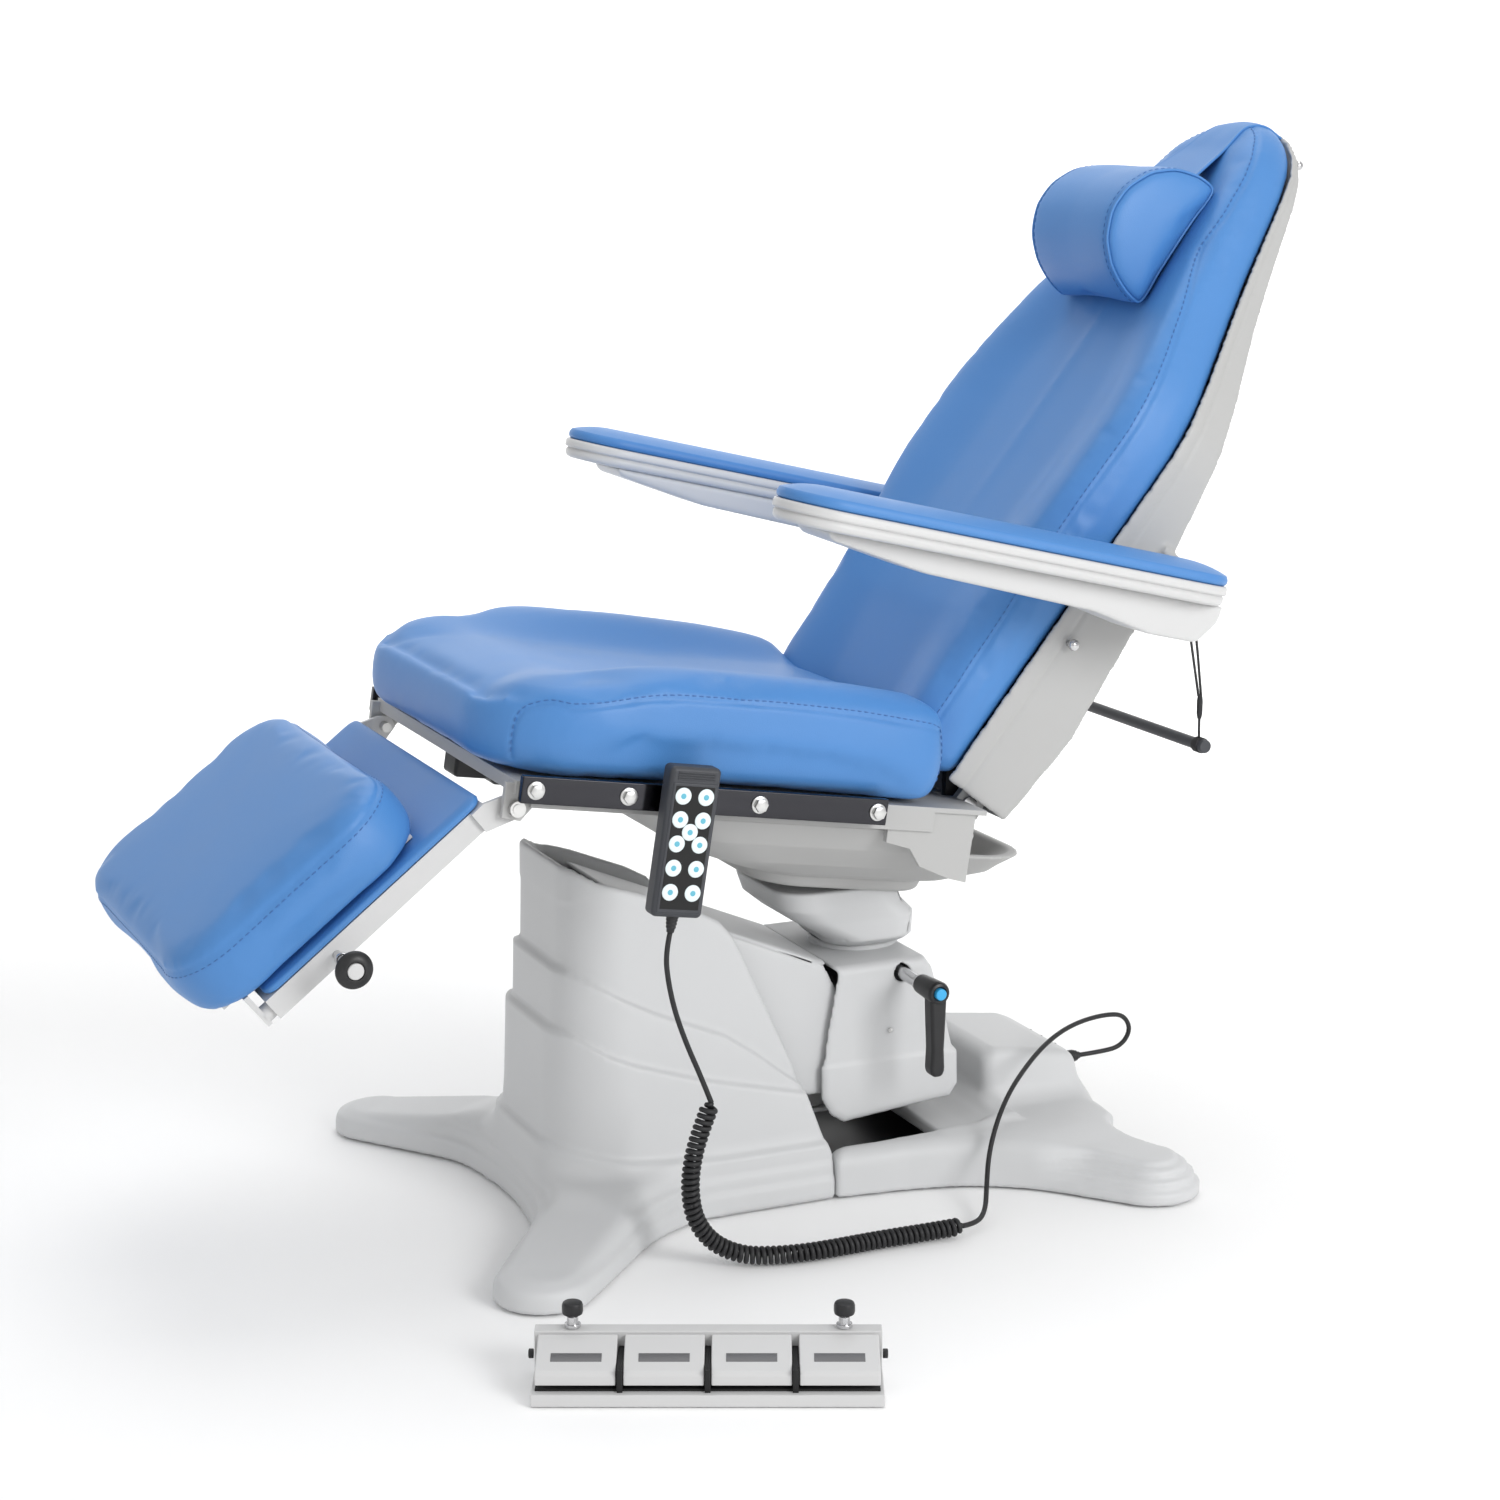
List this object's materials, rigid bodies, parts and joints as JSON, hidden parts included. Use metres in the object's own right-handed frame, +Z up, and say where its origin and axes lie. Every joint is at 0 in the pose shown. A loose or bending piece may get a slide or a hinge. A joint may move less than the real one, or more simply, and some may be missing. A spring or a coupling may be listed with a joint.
{
  "type": "procedure chair",
  "caption": "Height-adjustable clinic procedure chair: swivelling, tilting seat, reclining back with armrests and head pillow, sliding leg rest, corded handset and foot control.",
  "frame": {"origin": "on the floor, in the symmetry plane, 220 mm behind the lift's fixed pivots", "axes": "+Z up, +X towards the head end, -Y the patient's left side where the handset hangs"},
  "size_m": [1.4961, 1.0833, 1.2947],
  "materials": {
    "cover_grey": "satin",
    "black_steel": "satin",
    "white_plastic": "satin",
    "vinyl": "soft",
    "steel": "polished",
    "black_plastic": "satin",
    "charcoal": "satin",
    "black_rubber": "matte",
    "blue_plastic": "gloss",
    "elastic": "matte"
  },
  "bodies": {
    "base": {"front_base_cover": "cover_grey", "rear_base_cover": "cover_grey", "base_frame": "black_steel", "floor_feet": "black_rubber", "control_box": "black_plastic", "socket_panel": "black_plastic", "tower_pins": "steel", "handset_plug": "black_plastic", "cord_lead_rear": "black_rubber", "cord_coil": "black_rubber"},
    "lift_arm_body": {"lift_arm": "black_steel", "arm_cover": "cover_grey"},
    "lift_link_body": {"lift_link": "black_steel"},
    "lift_head_body": {"lift_head": "black_steel", "head_cover": "cover_grey", "swivel_collar": "steel", "head_pins": "steel"},
    "lever": {"clamp_lever": "black_plastic", "lever_stud": "steel"},
    "lever_button_body": {"lever_button": "blue_plastic"},
    "swivel": {"swivel_post": "black_steel", "neck_cover": "cover_grey"},
    "seat": {"seat_frame": "white_plastic", "seat_shroud": "cover_grey", "seat_cushion": "vinyl", "side_rails": "steel", "rail_bolts": "steel", "leg_hinge_bolts": "steel", "leg_actuator": "black_steel", "back_hinge_pins": "steel", "handset_shell": "charcoal", "handset_keypad": "charcoal", "cord_lead_front": "black_rubber"},
    "leg_rest": {"leg_frame": "white_plastic", "leg_pad": "vinyl"},
    "leg_extension": {"leg_carriage": "steel", "leg_cushion": "vinyl"},
    "leg_knob_body": {"leg_knob": "black_plastic"},
    "backrest": {"backrest_shell": "cover_grey", "backrest_frame": "black_steel", "backrest_cushion": "vinyl", "shell_screws": "steel", "pillow_strap": "vinyl"},
    "pillow": {"head_pillow": "vinyl"},
    "armrest_left": {"armrest_tray_left": "white_plastic", "armrest_pad_left": "vinyl", "armrest_arm_left": "white_plastic"},
    "armrest_right": {"armrest_tray_right": "white_plastic", "armrest_pad_right": "vinyl", "armrest_arm_right": "white_plastic"},
    "paper_holder": {"paper_bar": "steel", "paper_cords": "elastic"},
    "foot_control": {"foot_base": "white_plastic"},
    "pedal_1": {"foot_pedal_1": "white_plastic"},
    "pedal_2": {"foot_pedal_2": "white_plastic"},
    "pedal_3": {"foot_pedal_3": "white_plastic"},
    "pedal_4": {"foot_pedal_4": "white_plastic"},
    "plunger_1": {"foot_plunger_1": "black_plastic"},
    "plunger_2": {"foot_plunger_2": "black_plastic"}
  },
  "joints": [
    {"name": "lift", "type": "hinge", "parent": "base", "child": "lift_arm_body", "pos_m": [-0.22, 0, 0.35], "axis": [0, -1, 0], "range_deg": [0, 50], "deforming": ["cord_coil", "cord_lead_front"]},
    {"name": "lift_lower_link", "type": "hinge", "parent": "base", "child": "lift_link_body", "pos_m": [-0.22, 0, 0.26], "axis": [0, -1, 0], "range_deg": [0, 50]},
    {"name": "lift_head_level", "type": "hinge", "parent": "lift_arm_body", "child": "lift_head_body", "pos_m": [0.13, 0, 0.194], "axis": [0, 1, 0], "range_deg": [0, 50]},
    {"name": "swivel_turn", "type": "hinge", "parent": "lift_head_body", "child": "swivel", "pos_m": [0.15, 0, 0.28], "axis": [0, 0, 1], "range_deg": [-90, 90], "deforming": ["cord_coil", "cord_lead_front"]},
    {"name": "lever_turn", "type": "hinge", "parent": "lift_head_body", "child": "lever", "pos_m": [0.163, -0.186, 0.256], "axis": [0, 1, 0], "range_deg": [-45, 45]},
    {"name": "lever_button_push", "type": "slide", "parent": "lever", "child": "lever_button_body", "axis": [0, 1, 0], "range_m": [0, 0.0025], "stiffness_N_per_m": 300},
    {"name": "seat_tilt", "type": "hinge", "parent": "swivel", "child": "seat", "pos_m": [0.15, 0, 0.41], "axis": [0, 1, 0], "range_deg": [-8.9, 9], "deforming": ["cord_coil", "cord_lead_front"]},
    {"name": "leg_tilt", "type": "hinge", "parent": "seat", "child": "leg_rest", "pos_m": [-0.37675, 0, 0.5431], "axis": [0, 1, 0], "range_deg": [-28, 38]},
    {"name": "leg_extend", "type": "slide", "parent": "leg_rest", "child": "leg_extension", "axis": [-0.7869, 0, -0.617], "range_m": [0, 0.13]},
    {"name": "leg_knob_turn", "type": "hinge", "parent": "leg_rest", "child": "leg_knob_body", "pos_m": [-0.57527, -0.29, 0.3976], "axis": [0, 1, 0], "range_deg": [-180, 180]},
    {"name": "back_recline", "type": "hinge", "parent": "seat", "child": "backrest", "pos_m": [0.2148, 0, 0.47475], "axis": [0, 1, 0], "range_deg": [-8, 62]},
    {"name": "pillow_slide", "type": "slide", "parent": "backrest", "child": "pillow", "axis": [0.6018, 0, 0.7986], "range_m": [-0.06, 0]},
    {"name": "armrest_left_swing", "type": "hinge", "parent": "backrest", "child": "armrest_left", "pos_m": [0.4, -0.262, 0.72], "axis": [0, 1, 0], "range_deg": [-5, 100]},
    {"name": "armrest_right_swing", "type": "hinge", "parent": "backrest", "child": "armrest_right", "pos_m": [0.4, 0.262, 0.72], "axis": [0, 1, 0], "range_deg": [-5, 100]},
    {"name": "paper_hang", "type": "hinge", "parent": "backrest", "child": "paper_holder", "pos_m": [0.46, 0, 0.756], "axis": [0, 1, 0], "range_deg": [-62, 8]},
    {"name": "foot_control_lift", "type": "slide", "parent": "base", "child": "foot_control", "axis": [0, 0, 1], "range_m": [0, 0.1]},
    {"name": "pedal_1_press", "type": "hinge", "parent": "foot_control", "child": "pedal_1", "pos_m": [-0.41908, -0.5243, 0.041], "axis": [0.9121, -0.4099, 0], "range_deg": [0, 4.5], "stiffness_Nm_per_rad": 3},
    {"name": "pedal_2_press", "type": "hinge", "parent": "foot_control", "child": "pedal_2", "pos_m": [-0.33745, -0.56099, 0.041], "axis": [0.9121, -0.4099, 0], "range_deg": [0, 4.5], "stiffness_Nm_per_rad": 3},
    {"name": "pedal_3_press", "type": "hinge", "parent": "foot_control", "child": "pedal_3", "pos_m": [-0.25627, -0.59747, 0.041], "axis": [0.9121, -0.4099, 0], "range_deg": [0, 4.5], "stiffness_Nm_per_rad": 3},
    {"name": "pedal_4_press", "type": "hinge", "parent": "foot_control", "child": "pedal_4", "pos_m": [-0.17464, -0.63416, 0.041], "axis": [0.9121, -0.4099, 0], "range_deg": [0, 4.5], "stiffness_Nm_per_rad": 3},
    {"name": "plunger_1_push", "type": "slide", "parent": "foot_control", "child": "plunger_1", "axis": [0, 0, 1], "range_m": [-0.006, 0], "stiffness_N_per_m": 900},
    {"name": "plunger_2_push", "type": "slide", "parent": "foot_control", "child": "plunger_2", "axis": [0, 0, 1], "range_m": [-0.006, 0], "stiffness_N_per_m": 900}
  ],
  "couplings": [
    {"joint": "lift_lower_link", "follows": "lift", "ratio": 1},
    {"joint": "lift_head_level", "follows": "lift", "ratio": 1},
    {"joint": "paper_hang", "follows": "back_recline", "ratio": -1}
  ]
}
